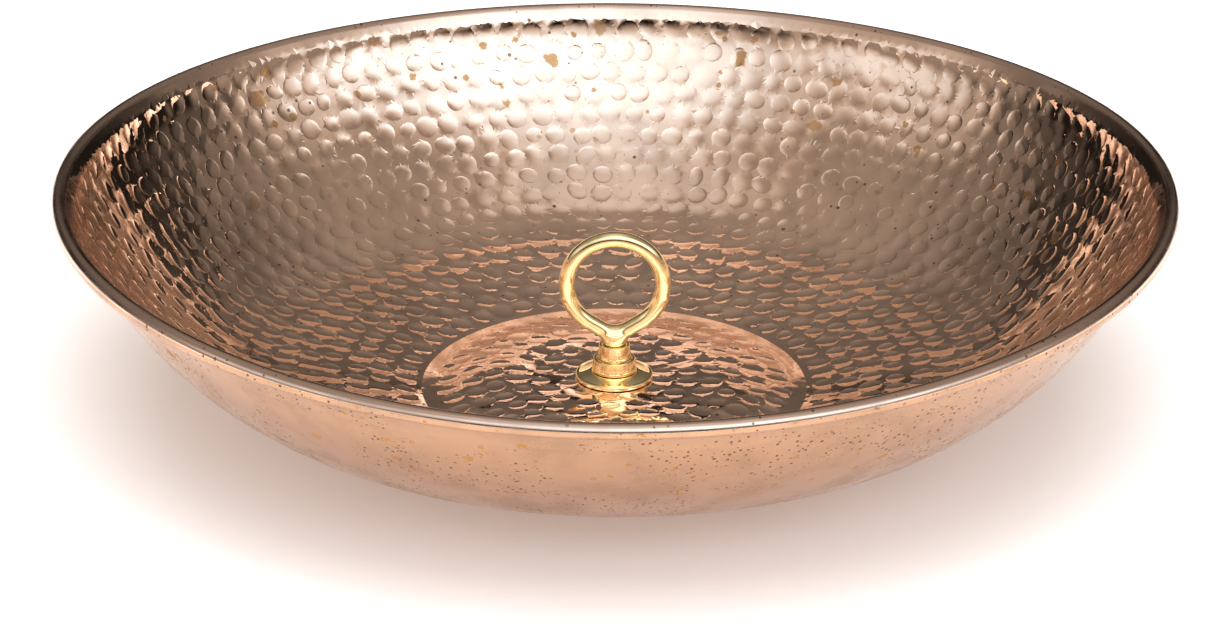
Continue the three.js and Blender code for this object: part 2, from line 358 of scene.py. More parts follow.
def floor_line(lift, from_radius, steps):
    """The raised floor, with its corners rounded off, from a radius out to the foot ring."""
    radius = np.linspace(from_radius, FOOT_INNER_RADIUS, steps + 1)
    shifts = np.linspace(-FLOOR_LINE_ROUNDING, FLOOR_LINE_ROUNDING, FLOOR_LINE_SHIFTS)
    height = np.mean([
        np.interp(radius + shift, FLOOR_LINE_RADIUS, FLOOR_LINE_HEIGHT) for shift in shifts
    ], axis=0)
    sharp = np.interp(radius, FLOOR_LINE_RADIUS, FLOOR_LINE_HEIGHT)
    share = np.clip((FOOT_INNER_RADIUS - radius) / FLOOR_LINE_ROUNDING, 0, 1)
    height = sharp + (height - sharp) * share * np.clip(radius / FLOOR_SEAT_RADIUS, 0, 1)
    return np.stack([radius, height + lift], axis=1)


def inside_line():
    """The inner surface from the floor hole to the foot of the bead, as closely spaced points."""
    return np.concatenate([
        floor_line(SHEET, FLOOR_HOLE_RADIUS, FLOOR_LINE_STEPS),
        [[FOOT_OUTER_RADIUS, SHEET]],
        wall_line(SHEET, INSIDE_WALL_STEPS),
        [beside_bead(0, -BEAD_RADIUS)],
    ])


INSIDE = inside_line()
INSIDE_RUN = FLOOR_HOLE_RADIUS + np.concatenate(
    [[0], np.cumsum(np.hypot(*np.diff(INSIDE, axis=0).T))],
)
BEAD_RUN = INSIDE_RUN[-1]
FOOT_INNER_RUN = np.interp(FOOT_INNER_RADIUS, INSIDE[:, 0], INSIDE_RUN)
FOOT_OUTER_RUN = np.interp(FOOT_OUTER_RADIUS, INSIDE[:, 0], INSIDE_RUN)


def inside_radius(run):
    return np.interp(run, INSIDE_RUN, INSIDE[:, 0])


def inside_point(run, angle, height):
    """The place at that run from the middle and angle, lifted off the inner surface by height."""
    radius = inside_radius(run)
    level = np.interp(run, INSIDE_RUN, INSIDE[:, 1])
    step = 0.5
    rise = (
        np.interp(run + step, INSIDE_RUN, INSIDE[:, 1])
        - np.interp(run - step, INSIDE_RUN, INSIDE[:, 1])
    )
    spread = inside_radius(run + step) - inside_radius(run - step)
    slope = np.arctan2(rise, spread)
    out = radius - height * np.sin(slope)
    return np.stack([out * np.cos(angle), out * np.sin(angle), level + height * np.cos(slope)], axis=1)


# ---------------------------------------------------------------- hammered inside

def row_runs():
    """The runs of the rows of marks: evenly spaced on the floor, and again from the foot to the rim."""
    floor_end = FOOT_INNER_RUN - MARK_RADIUS
    floor_rows = round((floor_end - FIRST_ROW) / FLOOR_ROW_PITCH)
    wall_start = FOOT_OUTER_RUN + MARK_RADIUS + FIRST_WALL_ROW_CREASES * FOOT_CREASE_WIDTH
    wall_end = BEAD_RUN - LAST_ROW_BELOW_BEAD
    wall_rows = round((wall_end - wall_start) / WALL_ROW_PITCH)
    return np.concatenate([
        np.linspace(FIRST_ROW, floor_end, floor_rows + 1),
        np.linspace(wall_start, wall_end, wall_rows + 1),
    ])


def hammer_marks():
    """Run, angle, two radii, turn, depth, lean and direction of lean of every hammer mark."""
    blocks = []
    for run in row_runs():
        count = round(TURN * inside_radius(run) / MARK_PITCH)
        angle = (np.arange(count) + rng.uniform()) * TURN / count
        stretch = rng.normal(0, MARK_STRETCH, count)
        radius = rng.normal(MARK_RADIUS, MARK_RADIUS_SPREAD, count)
        dish = FLOOR_MARK_DISH if run < FOOT_INNER_RUN else WALL_MARK_DISH
        blocks.append(np.stack([
            run + rng.uniform(-ROW_WANDER, ROW_WANDER, count),
            angle + rng.uniform(-MARK_WANDER, MARK_WANDER, count) / inside_radius(run),
            radius * (1 + stretch),
            radius * (1 - stretch),
            rng.uniform(0, math.pi, count),
            np.maximum(rng.normal(dish, MARK_DISH_SPREAD, count), MARK_DISH_LEAST),
            rng.uniform(0, MARK_LEAN, count),
            rng.uniform(0, TURN, count),
        ], axis=1))
    return np.concatenate(blocks)


MARKS = hammer_marks()
FLOOR_WAVE_DRAWS = np.column_stack([
    rng.uniform(0, TURN, FLOOR_WAVES),
    rng.uniform(*FLOOR_WAVE_LENGTH, FLOOR_WAVES),
    rng.uniform(0, TURN, FLOOR_WAVES),
])


def in_mark(run, angle, mark):
    """Where points lie in a mark: its own two coordinates, both 1 at its edge."""
    along = run - mark[..., 0]
    around = (angle - mark[..., 1] + math.pi) % TURN - math.pi
    around = around * inside_radius(mark[..., 0])
    cos_turn = np.cos(mark[..., 4])
    sin_turn = np.sin(mark[..., 4])
    u = (along * cos_turn + around * sin_turn) / mark[..., 2]
    v = (around * cos_turn - along * sin_turn) / mark[..., 3]
    return u, v


def mark_points(reach, count):
    """Points round every mark at that share of its radius: their run and angle."""
    phase = rng.uniform(0, TURN, len(MARKS))[:, None]
    turn = circle_angles(count)[None] + phase
    u = reach * np.cos(turn) * MARKS[:, 2:3]
    v = reach * np.sin(turn) * MARKS[:, 3:4]
    cos_turn = np.cos(MARKS[:, 4:5])
    sin_turn = np.sin(MARKS[:, 4:5])
    run = MARKS[:, 0:1] + u * cos_turn - v * sin_turn
    angle = MARKS[:, 1:2] + (u * sin_turn + v * cos_turn) / inside_radius(MARKS[:, 0:1])
    owner = np.repeat(np.arange(len(MARKS)), count)
    return run.ravel(), angle.ravel(), owner


def nearest_marks(run, angle):
    """For each point, the mark that is deepest there, its depth, and the gap to the nearest mark."""
    near = np.abs(MARKS[:, 0] - run.mean()) < MARK_REACH + np.ptp(run) / 2
    marks = MARKS[near]
    u, v = in_mark(run[:, None], angle[:, None], marks[None])
    reach = np.hypot(u, v)
    lean = 1 + marks[:, 6] * (u * np.cos(marks[:, 7]) + v * np.sin(marks[:, 7]))
    dish = marks[:, 5] * (1 - reach ** 2)
    step = MARK_STEP * np.clip((1 - reach) / (1 - MARK_STEP_START), 0, 1)
    depths = np.where(reach < 1, dish * lean + step, dish)
    best = depths.argmax(axis=1)
    size = np.sqrt(marks[:, 2] * marks[:, 3])
    gap = ((reach - 1) * size).min(axis=1)
    return np.flatnonzero(near)[best], depths[np.arange(len(best)), best], gap


def inside_height(run, angle, block=2000):
    """How far the hammered surface stands off the plain one, and the owner and gap of each point."""
    order = np.argsort(run)
    owner = np.empty(len(run), int)
    depth = np.empty(len(run))
    gap = np.empty(len(run))
    for start in range(0, len(run), block):
        part = order[start:start + block]
        owner[part], depth[part], gap[part] = nearest_marks(run[part], angle[part])
    return np.where(gap > 0, 0, -np.maximum(depth, 0)), owner, gap


def web_points():
    """Filler points between the marks: a loose triangular lattice over the whole inside."""
    blocks = []
    first = FLOOR_HOLE_RADIUS + WEB_CLEAR_OF_HOLE
    for run in np.arange(first, BEAD_RUN - WEB_CLEAR_OF_BEAD, WEB_ROW_PITCH):
        count = max(HOLE_COLUMNS, round(TURN * inside_radius(run) / WEB_PITCH))
        angle = (np.arange(count) + rng.uniform()) * TURN / count
        blocks.append(np.stack([run + rng.uniform(-WEB_WANDER, WEB_WANDER, count), angle], axis=1))
    lattice = np.concatenate(blocks)
    return lattice[:, 0], lattice[:, 1]


def neck_height(below_bead):
    """The pinch below the bead, with its corners rounded off."""
    shifts = (-NECK_ROUNDING, 0, NECK_ROUNDING)
    heights = [np.interp(below_bead + shift, NECK_DISTANCE, NECK_HEIGHT) for shift in shifts]
    return np.mean(heights, axis=0) * np.clip(below_bead / NECK_ROUNDING, 0, 1)


def floor_waves(run, angle):
    """Broad uneven waves over the floor, gone at the fitting and at the foot."""
    x = run * np.cos(angle)
    y = run * np.sin(angle)
    height = np.zeros(len(run))
    for way_along, length, phase in FLOOR_WAVE_DRAWS:
        along = x * np.cos(way_along) + y * np.sin(way_along)
        height += FLOOR_WAVE_HEIGHT * np.sin(TURN * along / length + phase)
    height *= np.clip((run - FLOOR_SEAT_RADIUS) / FLOOR_WAVE_FADE, 0, 1)
    return height * np.clip((FOOT_INNER_RUN - run) / FLOOR_WAVE_FADE, 0, 1)


def hammered_inside():
    """Points and triangles of the inside, from the floor hole to the foot of the bead."""
    runs = []
    angles = []
    for reach, count in MARK_RINGS:
        run, angle, owner = mark_points(reach, count)
        _, deepest, gap = inside_height(run, angle)
        inner = (deepest == owner) | (gap > -MARK_OVERLAP)
        runs.append(run[inner])
        angles.append(angle[inner])
    run, angle = web_points()
    _, _, gap = inside_height(run, angle)
    clear = gap > WEB_CLEAR_OF_MARK
    runs.append(run[clear])
    angles.append(angle[clear])
    for run, columns in ((FLOOR_HOLE_RADIUS, HOLE_COLUMNS), (BEAD_RUN, RIM_COLUMNS)):
        runs.append(np.full(columns, run))
        angles.append(circle_angles(columns))
    crease_rings = [FOOT_OUTER_RUN + side * FOOT_CREASE_WIDTH for side in (-1, 0, 1)]
    neck_rings = [BEAD_RUN - distance for distance in NECK_RINGS]
    for run in crease_rings + neck_rings:
        runs.append(np.full(RIM_COLUMNS, run))
        angles.append(circle_angles(RIM_COLUMNS))
    run = np.concatenate(runs)
    angle = np.concatenate(angles)
    height, _, _ = inside_height(run, angle)
    height *= np.clip(np.abs(run - FOOT_OUTER_RUN) / FOOT_CREASE_WIDTH - 1, 0, 1)
    height *= np.clip((BEAD_RUN - run - NECK_DISTANCE[1]) / NECK_FADE, 0, 1)
    height += neck_height(BEAD_RUN - run) + floor_waves(run, angle)
    height *= np.clip((run - FLOOR_HOLE_RADIUS) / HOLE_FADE, 0, 1)
    flat = np.stack([run * np.cos(angle), run * np.sin(angle)], axis=1)
    return inside_point(run, angle, height), triangles_over(flat, FLOOR_HOLE_RADIUS)


# ---------------------------------------------------------------- rim and outside

def rim_and_outside_line():
    """The outline from the top of the lip over the bead, round the hem and down the outside."""
    hem_outer = 2 * SHEET + HEM_CLEARANCE - BEAD_RADIUS
    hem_inner = hem_outer - SHEET
    fillet_v = hem_outer + HEM_FILLET
    fillet_u = -math.sqrt((BEAD_RADIUS + HEM_FILLET) ** 2 - fillet_v ** 2)
    fillet_centre = beside_bead(fillet_u, fillet_v)
    leave = LIP_ANGLE + math.degrees(math.atan2(-fillet_v, fillet_u))
    wall_side = LIP_ANGLE + 90
    bead = arc(BEAD_CENTRE, BEAD_RADIUS, wall_side, leave, BEAD_STEPS)
    hem_outside = arc(fillet_centre, HEM_FILLET, leave + 180, wall_side, HEM_OUTSIDE_STEPS)
    hem_inside = arc(
        fillet_centre, HEM_FILLET + SHEET, wall_side, leave + 180, HEM_INSIDE_STEPS,
    )
    pocket = arc(BEAD_CENTRE, BEAD_RADIUS - SHEET, leave, wall_side, POCKET_STEPS)
    return np.concatenate([
        bead,
        hem_outside[1:],
        [beside_bead(-HEM_LENGTH, hem_outer)],
        [beside_bead(-HEM_LENGTH, hem_inner)],
        hem_inside[:-1],
        pocket,
        wall_line(0, OUTSIDE_WALL_STEPS)[::-1],
        [[FOOT_OUTER_RADIUS, 0]],
        [[FOOT_INNER_RADIUS, 0]],
    ])


def underside():
    """The floor seen from below, from the foot ring to the hole."""
    rings = []
    for radius, columns in UNDERSIDE_RINGS:
        angle = circle_angles(columns)
        rings.append(np.stack([radius * np.cos(angle), radius * np.sin(angle)], axis=1))
    flat = np.concatenate(rings)
    line = floor_line(0, FLOOR_HOLE_RADIUS, FLOOR_LINE_STEPS)
    height = np.interp(np.hypot(*flat.T), line[:, 0], line[:, 1])
    return np.column_stack([flat, height]), triangles_over(flat, FLOOR_HOLE_RADIUS)


def warped(points):
    """Lifts and lowers the upper part of the basin, where the rim isn't level."""
    angle = np.arctan2(points[:, 1], points[:, 0])
    lift = (
        RIM_LIFT
        + RIM_TILT * np.sin(angle)
        + RIM_SADDLE * np.cos(2 * angle)
        + RIM_TREFOIL * np.sin(3 * angle)
    )
    moved = points.copy()
    moved[:, 2] += lift * np.clip(points[:, 2] / BASIN_HEIGHT, 0, 1) ** RIM_WARP_POWER
    return moved


def crisp_hammering(data):
    """Marks the edges of the hammer marks as sharp, and leaves the outside as it is."""
    work = bmesh.new()
    work.from_mesh(data)
    limit = math.radians(HAMMERED_SHARP_DEGREES)
    for edge in work.edges:
        hammered = all(face.material_index == INSIDE_SLOT for face in edge.link_faces)
        if hammered and len(edge.link_faces) == 2 and edge.calc_face_angle() > limit:
            edge.smooth = False
    work.to_mesh(data)
    work.free()


def basin(inside_material, outside_material, rim_material):
    hole = lofted(
        [[FLOOR_HOLE_RADIUS, FLOOR_RISE], [FLOOR_HOLE_RADIUS, FLOOR_RISE + SHEET]], HOLE_COLUMNS,
    )
    inside = hammered_inside()
    patches = [inside, lofted(rim_and_outside_line(), RIM_COLUMNS), underside(), hole]
    points, faces = joined(patches)
    face_material = np.full(len(faces), OUTSIDE_SLOT)
    inside_count = len(inside[1])
    face_material[:inside_count] = INSIDE_SLOT
    bright_end = inside_count + BRIGHT_BEAD_STEPS * RIM_COLUMNS
    face_material[inside_count:bright_end] = BRIGHT_SLOT
    obj = make_mesh(
        "hammered_basin", warped(points), faces, [inside_material, outside_material, rim_material],
        face_material,
    )
    crisp_hammering(obj.data)
    return obj


# ---------------------------------------------------------------- brass fitting

def turned(name, outline, material, columns=96, sharp_degrees=50):
    """A solid of revolution from a closed (radius, height) outline."""
    closed = np.concatenate([outline, outline[:1]])
    points, faces = lofted(closed, columns)
    return make_mesh(name, points, faces, [material], sharp_degrees=sharp_degrees)


def cap(material):
    """The spun cap: hollow underneath, with a flat top, a shallow cone and a round lip."""
    low, high = box_mm("flange_cap")
    base, top = low[2], high[2]
    lip_top = base + CAP_LIP_HEIGHT
    inner = high[0] - CAP_SHEET
    outline = np.concatenate([
        [[inner, base]],
        arc((high[0] - CAP_LIP_ROUND, base + CAP_LIP_ROUND), CAP_LIP_ROUND, -90, 0, 5),
        arc((high[0] - CAP_LIP_ROUND, lip_top - CAP_LIP_ROUND), CAP_LIP_ROUND, 0, 80, 6),
        np.array([CAP_CONE_RADIUS, lip_top]) + CAP_STEP,
        [np.array([CAP_SEAT_RADIUS, lip_top]) + CAP_CONE_MIDDLE],
        np.array([CAP_SEAT_RADIUS, top]) + CAP_SEAT_EDGE,
        [[FLOOR_HOLE_RADIUS, top]],
        [[FLOOR_HOLE_RADIUS, top - CAP_SHEET]],
        [[CAP_SEAT_RADIUS, top - CAP_SHEET]],
        [[inner, lip_top - CAP_SHEET]],
    ])
    return turned("spun_cap", outline, material)


def collar(name, node, material, top_radius, cup_radius, cup_depth):
    """A tapered collar. Its top is a shallow cup, so its rim stands up as a thin bright ring."""
    low, high = box_mm(node)
    base, top = low[2], high[2]
    bore = EYE_SHANK_RADIUS + BORE_CLEARANCE
    outline = np.concatenate([
        [[bore, base]],
        arc((high[0] - COLLAR_EDGE, base + COLLAR_EDGE), COLLAR_EDGE, -90, 0, 4),
        [[(high[0] + top_radius) / 2 - COLLAR_WAIST, (base + top) / 2]],
        arc((top_radius - COLLAR_EDGE, top - COLLAR_EDGE), COLLAR_EDGE, 0, 90, 6),
        arc((cup_radius + COLLAR_EDGE / 2, top - COLLAR_EDGE / 2), COLLAR_EDGE / 2, 90, 180, 4),
        [[cup_radius - COLLAR_EDGE / 2, top - cup_depth]],
        [[bore, top - cup_depth]],
    ])
    return turned(name, outline, material)


def flat_ring(name, node, bore, edge, material):
    """A plain washer or gasket with its corners eased."""
    low, high = box_mm(node)
    corners = ((bore, low[2], 180), (high[0], low[2], 270), (high[0], high[2], 0), (bore, high[2], 90))
    outline = []
    for radius, height, start in corners:
        inward = -edge if radius > bore else edge
        upward = edge if height == low[2] else -edge
        outline.append(arc((radius + inward, height + upward), edge, start, start + 90, 3))
    return turned(name, np.concatenate(outline), material, columns=64)


def smooth_least(first, second, blend):
    """The smaller of two distances, with the corner between them rounded off."""
    share = np.clip(0.5 + 0.5 * (second - first) / blend, 0, 1)
    return second * (1 - share) + first * share - blend * share * (1 - share)


def distance_to_segment(points, start, end):
    reach = end - start
    share = np.clip((points - start) @ reach / (reach @ reach), 0, 1)
    return np.linalg.norm(points - start - share[:, None] * reach, axis=1)


def eye_distance(points):
    """Distance from the surface of the eye: a round bow, two arms in a V, and a flared shank."""
    low, high = box_mm("eye_ring")
    centre = high[2] - EYE_RADIUS - EYE_TUBE
    local = points - np.array([0, 0, centre])
    around = np.hypot(local[:, 0], local[:, 2])
    from_bottom = np.abs(np.degrees(np.arctan2(local[:, 0], -local[:, 2])))
    bow = np.hypot(around - EYE_RADIUS, local[:, 1]) - EYE_TUBE
    bow = np.where(from_bottom < EYE_VEE, np.inf, bow)
    vee = math.radians(EYE_VEE)
    apex = np.array([0, 0, -EYE_RADIUS / math.cos(vee)])
    ends = [
        np.array([side * EYE_RADIUS * math.sin(vee), 0, -EYE_RADIUS * math.cos(vee)])
        for side in (-1, 1)
    ]
    left, right = [distance_to_segment(local, end, apex) - EYE_TUBE for end in ends]
    loop = np.minimum(bow, smooth_least(left, right, EYE_ARM_BLEND))

    neck_base = box_mm("upper_collar")[1][2]
    neck_top = neck_base + EYE_NECK_HEIGHT
    flare = np.clip((points[:, 2] - neck_base) / EYE_NECK_ROOT + 1, 0, 1)
    radius = EYE_SHANK_RADIUS + (EYE_NECK_RADIUS - EYE_SHANK_RADIUS) * flare
    side = np.hypot(points[:, 0], points[:, 1]) - radius
    ends_gap = np.maximum(low[2] - points[:, 2], points[:, 2] - neck_top)
    shank = np.maximum(side, ends_gap)
    return smooth_least(loop, shank, EYE_NECK_BLEND)


def surface_net(distance, low, high, step):
    """Points and quads on the zero surface of a distance, from a grid of cubes."""
    axes = [np.arange(start, end + step, step) for start, end in zip(low, high)]
    grid = np.stack(np.meshgrid(*axes, indexing="ij"), axis=-1)
    inside = (distance(grid.reshape(-1, 3)) < 0).reshape(grid.shape[:3])
    size = np.array(inside.shape) - 1
    corners = np.zeros(size, int)
    for dx in (0, 1):
        for dy in (0, 1):
            for dz in (0, 1):
                corners += inside[dx:dx + size[0], dy:dy + size[1], dz:dz + size[2]]
    crossed = (corners > 0) & (corners < 8)
    number = np.full(crossed.shape, -1)
    number[crossed] = np.arange(crossed.sum())
    points = (grid[:-1, :-1, :-1] + step / 2)[crossed]

    faces = []
    for axis in range(3):
        here = np.moveaxis(inside, axis, 0)
        cells = np.moveaxis(number, axis, 0)
        change = here[:-1, 1:-1, 1:-1] != here[1:, 1:-1, 1:-1]
        i, j, k = np.nonzero(change)
        ring = [cells[i, j, k], cells[i, j + 1, k], cells[i, j + 1, k + 1], cells[i, j, k + 1]]
        faces.extend(map(tuple, np.stack(ring, axis=1).tolist()))
    return points, faces


def settled(points, faces, distance, rounds=10, nudge=0.01):
    """Evens out a mesh and brings every point onto the zero surface of the distance."""
    quads = np.array(faces)
    pairs = np.concatenate([quads[:, [0, 1]], quads[:, [1, 2]], quads[:, [2, 3]], quads[:, [3, 0]]])
    pairs = np.concatenate([pairs, pairs[:, ::-1]])
    count = np.bincount(pairs[:, 0], minlength=len(points))[:, None]
    for turn in range(rounds):
        if turn < rounds - 2:
            gathered = np.stack([
                np.bincount(pairs[:, 0], points[pairs[:, 1], axis], len(points)) for axis in range(3)
            ], axis=1)
            points = gathered / count
        away = distance(points)
        slope = np.stack([
            (distance(points + nudge * way_out) - away) / nudge for way_out in np.eye(3)
        ], axis=1)
        points = points - slope * (away / np.maximum((slope ** 2).sum(axis=1), 0.1))[:, None]
    return points


def eye(material):
    low, high = box_mm("eye_ring")
    points, faces = surface_net(eye_distance, low - 1, high + 1, EYE_GRID)
    points = settled(points, faces, eye_distance)
    return make_mesh("ring_eye", points, faces, [material], sharp_degrees=60)


def screw(material):
    """The clamping screw: a low head with a slot across it, and a rolled thread."""
    low, high = box_mm("clamp_screw")
    head_top = box_mm("screw_washer")[0][2] - STACK_GAP
    thread_start = head_top + SCREW_NECK
    thread_end = high[2] - SCREW_TIP
    rows = round((thread_end - thread_start) / SCREW_PITCH * SCREW_TURN_STEPS)
    columns = SCREW_COLUMNS
    head = np.concatenate([
        [[AXIS_RADIUS, low[2]]],
        arc((high[0] - SCREW_HEAD_ROUND, low[2] + SCREW_HEAD_ROUND), SCREW_HEAD_ROUND, -90, 0, 6),
        [[high[0], head_top]],
        [[SCREW_RADIUS - SCREW_THREAD_DEPTH, head_top]],
    ])
    head_points, _ = lofted(head, columns)
    level = np.linspace(thread_start, thread_end, rows + 1)[:, None]
    angle = circle_angles(columns)[None]
    phase = (level / SCREW_PITCH - angle / TURN) % 1
    crest = 1 - 2 * np.abs(phase - 0.5)
    ends = np.clip(np.minimum(level - thread_start, thread_end - level) / SCREW_PITCH, 0, 1)
    radius = SCREW_RADIUS - SCREW_THREAD_DEPTH * (1 - crest * ends)
    thread = np.stack([
        radius * np.cos(angle), radius * np.sin(angle), np.broadcast_to(level, radius.shape),
    ], axis=-1)
    tip_radius = SCREW_RADIUS - 2 * SCREW_THREAD_DEPTH
    tip, _ = lofted([[tip_radius, high[2]], [AXIS_RADIUS, high[2]]], columns)
    points = np.concatenate([head_points, thread.reshape(-1, 3), tip])
    faces = quads_between(len(points) // columns, columns)
    faces.append(tuple(range(columns))[::-1])
    faces.append(tuple(range(len(points) - columns, len(points))))
    obj = make_mesh("slotted_screw", points, faces, [material], sharp_degrees=35)
    cut_slot(obj, low[2])
    return obj


def cut_slot(obj, head_base):
    """Cuts the driver slot across the screw's head."""
    half = np.array([3 * SCREW_RADIUS, SCREW_SLOT_WIDTH / 2, SCREW_SLOT_DEPTH])
    corners = [(x, y, z) for x in (-1, 1) for y in (-1, 1) for z in (-1, 1)]
    points = np.array(corners) * half + np.array([0, 0, head_base])
    faces = [(0, 1, 3, 2), (4, 6, 7, 5), (0, 4, 5, 1), (2, 3, 7, 6), (0, 2, 6, 4), (1, 5, 7, 3)]
    cutter = make_mesh("slot_cutter", points, faces, [])
    cut = obj.modifiers.new("slot", "BOOLEAN")
    cut.operation = "DIFFERENCE"
    cut.solver = "EXACT"
    cut.object = cutter
    bpy.context.view_layer.update()
    result = bpy.data.meshes.new_from_object(obj.evaluated_get(bpy.context.evaluated_depsgraph_get()))
    obj.modifiers.clear()
    obj.data = result
    bpy.data.objects.remove(cutter)


def wire(material):
    """The round steel wire inside the rolled rim."""
    radius = BEAD_RADIUS - SHEET - WIRE_CLEARANCE
    outline = arc(BEAD_CENTRE, radius, 0, 360, WIRE_SIDES)
    points, faces = lofted(outline, RIM_COLUMNS)
    return make_mesh("rim_wire_round", warped(points), faces, [material])


# ---------------------------------------------------------------- node helper

class Graph:
    """Adds nodes to a node tree. An input is a number, a tuple or another node's output."""

    def __init__(self, tree):
        self.tree = tree

    def node(self, kind, **settings):
        made = self.tree.nodes.new("ShaderNode" + kind)
        for name, value in settings.items():
            setattr(made, name, value)
        return made

    def put(self, value, socket):
        if isinstance(value, bpy.types.NodeSocket):
            self.tree.links.new(value, socket)
        else:
            socket.default_value = value

    def math(self, operation, first, second=0.0, third=0.0):
        made = self.node("Math", operation=operation)
        for value, socket in zip((first, second, third), made.inputs):
            self.put(value, socket)
        return made.outputs[0]

    def rise(self, value, start, end, low=0.0, high=1.0):
        """Goes smoothly from low to high as value goes from start to end, with start below end."""
        made = self.node("MapRange", interpolation_type="SMOOTHSTEP")
        for put, socket in zip((value, start, end, low, high), made.inputs):
            self.put(put, socket)
        return made.outputs[0]

    def fall(self, value, start, end, low=0.0, high=1.0):
        return self.rise(value, start, end, high, low)

    def product(self, *values):
        total = values[0]
        for value in values[1:]:
            total = self.math("MULTIPLY", total, value)
        return total

    def total(self, *values):
        total = values[0]
        for value in values[1:]:
            total = self.math("ADD", total, value)
        return total

    def split(self, vector):
        made = self.node("SeparateXYZ")
        self.put(vector, made.inputs[0])
        return tuple(made.outputs)

    def noise(self, place, scale, detail):
        made = self.node("TexNoise")
        self.put(place, made.inputs["Vector"])
        made.inputs["Scale"].default_value = scale
        made.inputs["Detail"].default_value = detail
        return made.outputs["Fac"]

    def spots(self, place, scale, radius, share, ragged):
        """Scattered ragged spots, one in that share of the cells. radius is in cells."""
        cells = self.node("TexVoronoi")
        self.put(place, cells.inputs["Vector"])
        cells.inputs["Scale"].default_value = scale
        draw = self.node("SeparateColor")
        self.put(cells.outputs["Color"], draw.inputs[0])
        kept = self.rise(draw.outputs[0], 1 - share, 1 - share + 0.02)
        size = self.rise(draw.outputs[1], 0.0, 1.0, radius * 0.4, radius)
        torn = self.math("MULTIPLY_ADD", self.noise(place, scale * 5, 4), ragged, -ragged / 2)
        edge = self.total(cells.outputs["Distance"], torn)
        return self.product(kept, self.fall(edge, size, self.total(size, 0.05)))

    def mix_color(self, share, first, second):
        made = self.node("Mix", data_type="RGBA")
        self.put(share, made.inputs["Factor"])
        self.put(first, made.inputs[6])
        self.put(second, made.inputs[7])
        return made.outputs[2]


# ---------------------------------------------------------------- materials

STAIN_COLOR = (0.5, 0.24, 0.07, 1)
SPECK_COLOR = (0.14, 0.06, 0.03, 1)

# Stains start above the foot and stop below the bead, over these heights in metres.
STAIN_FOOT = (0.012, 0.05)
STAIN_TOP = (0.0735, 0.0755)

# How deep the finest unevenness is, in metres.
COPPER_BUMP = 0.00003
BRASS_BUMP = 0.000002


def new_material(name):
    material = bpy.data.materials.new(name)
    material.use_nodes = True
    tree = material.node_tree
    return material, tree, tree.nodes["Principled BSDF"]


def plain(name, color, roughness, metallic):
    material, tree, shader = new_material(name)
    graph = Graph(tree)
    place = graph.node("TexCoord").outputs["Object"]
    wear = graph.noise(place, 400, 3)
    shader.inputs["Base Color"].default_value = (*color, 1)
    shader.inputs["Metallic"].default_value = metallic
    graph.put(graph.rise(wear, 0.3, 0.7, roughness * 0.8, roughness * 1.3), shader.inputs["Roughness"])
    return material


def copper(name, base_tone, roughness, stains, stain_scale, specks, speck_scale):
    """Polished copper with ochre stains and small dark specks. Stains and specks are shares, 0 to 1."""
    material, tree, shader = new_material(name)
    graph = Graph(tree)
    place = graph.node("TexCoord").outputs["Object"]
    _, _, height = graph.split(place)
    cloud = graph.noise(place, 14, 3)
    faint = graph.noise(place, 55, 4)

    high_up = graph.product(graph.rise(height, *STAIN_FOOT), graph.fall(height, *STAIN_TOP))
    stain = graph.product(
        graph.spots(place, stain_scale, 0.15, stains, 0.45),
        graph.rise(cloud, 0.36, 0.46),
        high_up,
    )
    small_stain = graph.product(graph.spots(place, 2.5 * stain_scale, 0.2, stains * 0.6, 0.26), high_up)
    stain = graph.math("MAXIMUM", stain, small_stain)
    speck = graph.product(
        graph.spots(place, speck_scale, 0.26, specks, 0.2),
        graph.rise(graph.noise(place, 30, 2), 0.4, 0.56),
    )
    dark = tuple(0.8 * part for part in base_tone)
    body = graph.mix_color(graph.rise(faint, 0.35, 0.75), (*base_tone, 1), (*dark, 1))
    body = graph.mix_color(graph.product(stain, 0.8), body, STAIN_COLOR)
    body = graph.mix_color(graph.product(speck, 0.85), body, SPECK_COLOR)
    graph.put(body, shader.inputs["Base Color"])
    shader.inputs["Metallic"].default_value = 1

    polish = graph.rise(faint, 0.3, 0.7, roughness * 0.7, roughness * 1.5)
    dull = graph.math("MAXIMUM", stain, speck)
    graph.put(graph.math("MULTIPLY_ADD", dull, 0.3, polish), shader.inputs["Roughness"])

    bump = graph.node("Bump")
    graph.put(graph.noise(place, 160, 4), bump.inputs["Height"])
    bump.inputs["Distance"].default_value = COPPER_BUMP
    graph.put(bump.outputs[0], shader.inputs["Normal"])
    return material


def turned_brass(name, color, roughness):
    """Bright brass with the fine rings that a lathe or a polishing wheel leaves."""
    material, tree, shader = new_material(name)
    graph = Graph(tree)
    place = graph.node("TexCoord").outputs["Object"]
    faint = graph.noise(place, 220, 4)
    deep = tuple(0.82 * part for part in color)
    body = graph.mix_color(graph.rise(faint, 0.4, 0.75), (*color, 1), (*deep, 1))
    graph.put(body, shader.inputs["Base Color"])
    shader.inputs["Metallic"].default_value = 1
    graph.put(graph.rise(faint, 0.3, 0.7, roughness * 0.6, roughness * 1.8), shader.inputs["Roughness"])

    x, y, z = graph.split(place)
    stretched = graph.node("CombineXYZ")
    for value, socket in zip((x, y, graph.product(z, 14.0)), stretched.inputs):
        graph.put(value, socket)
    rings = graph.noise(stretched.outputs[0], 160, 2)
    bump = graph.node("Bump")
    graph.put(graph.total(rings, graph.noise(place, 300, 3)), bump.inputs["Height"])
    bump.inputs["Distance"].default_value = BRASS_BUMP
    graph.put(bump.outputs[0], shader.inputs["Normal"])
    return material


